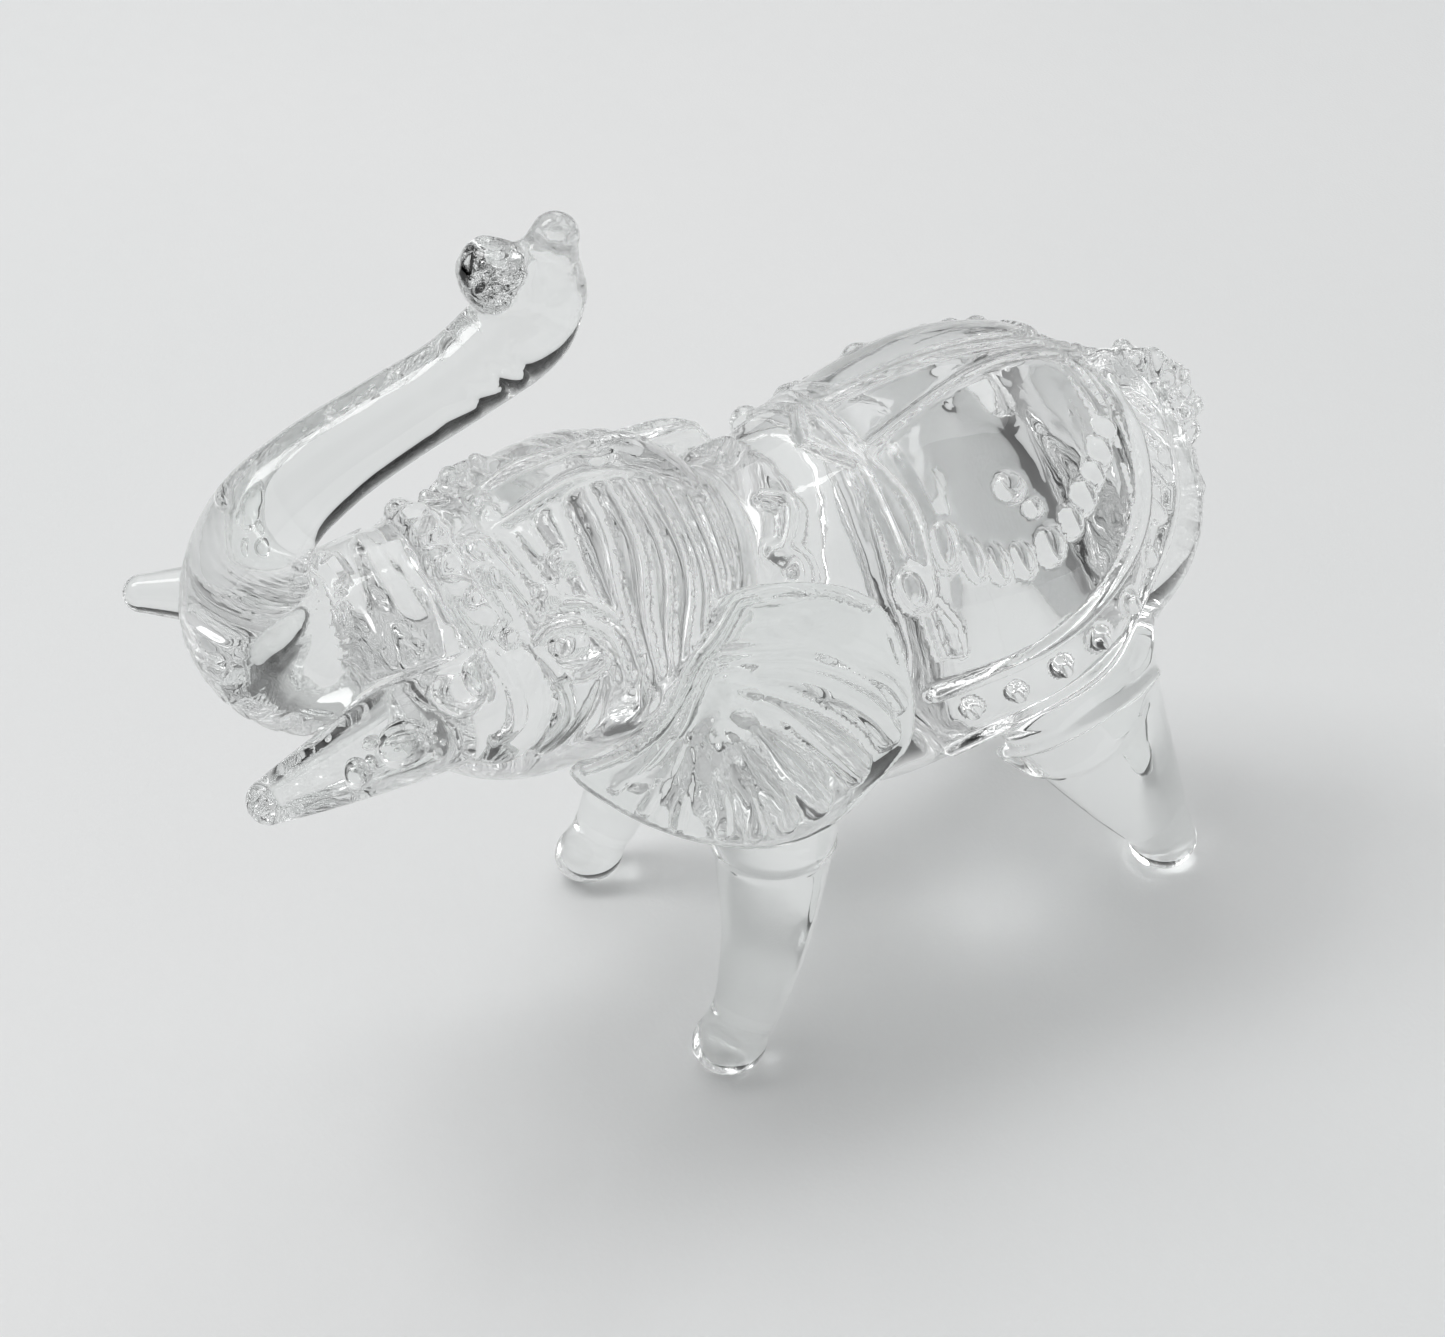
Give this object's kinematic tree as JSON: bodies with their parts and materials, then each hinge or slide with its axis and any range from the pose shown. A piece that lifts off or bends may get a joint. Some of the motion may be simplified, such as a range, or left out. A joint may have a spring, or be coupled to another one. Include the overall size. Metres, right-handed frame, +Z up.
{
  "type": "crystal glass figurine",
  "caption": "Clear glass elephant figurine, standing, with a raised trunk, tusks, shell-shaped ears and a saddle cloth in relief.",
  "frame": {"origin": "on the ground, under the middle of the figurine's length and width", "axes": "+Z up, -Y the way the elephant faces, +X its left side"},
  "size_m": [0.0366, 0.0875, 0.0739],
  "materials": {
    "clear_glass": "fire-polished"
  },
  "bodies": {
    "root": {"band_beads": "clear_glass", "brow_bosses": "clear_glass", "cloth_fringe": "clear_glass", "cloth_strap": "clear_glass", "cloth_studs": "clear_glass", "ear_left": "clear_glass", "ear_right": "clear_glass", "eye_left": "clear_glass", "eye_right": "clear_glass", "finger_lip": "clear_glass", "front_foot_left": "clear_glass", "front_foot_right": "clear_glass", "front_leg_left": "clear_glass", "front_leg_right": "clear_glass", "head": "clear_glass", "lower_jaw": "clear_glass", "nostril_lip": "clear_glass", "rear_foot_left": "clear_glass", "rear_foot_right": "clear_glass", "rear_leg_left": "clear_glass", "rear_leg_right": "clear_glass", "rump_cord_inner": "clear_glass", "rump_cord_outer": "clear_glass", "saddle_cloth": "clear_glass", "strap_tassels": "clear_glass", "tail": "clear_glass", "tail_tuft": "clear_glass", "torso": "clear_glass", "trunk_bend": "clear_glass", "trunk_rod": "clear_glass", "trunk_root": "clear_glass", "trunk_tip": "clear_glass", "tusk_left": "clear_glass", "tusk_right": "clear_glass", "tusk_socket_left": "clear_glass", "tusk_socket_right": "clear_glass"}
  },
  "joints": []
}
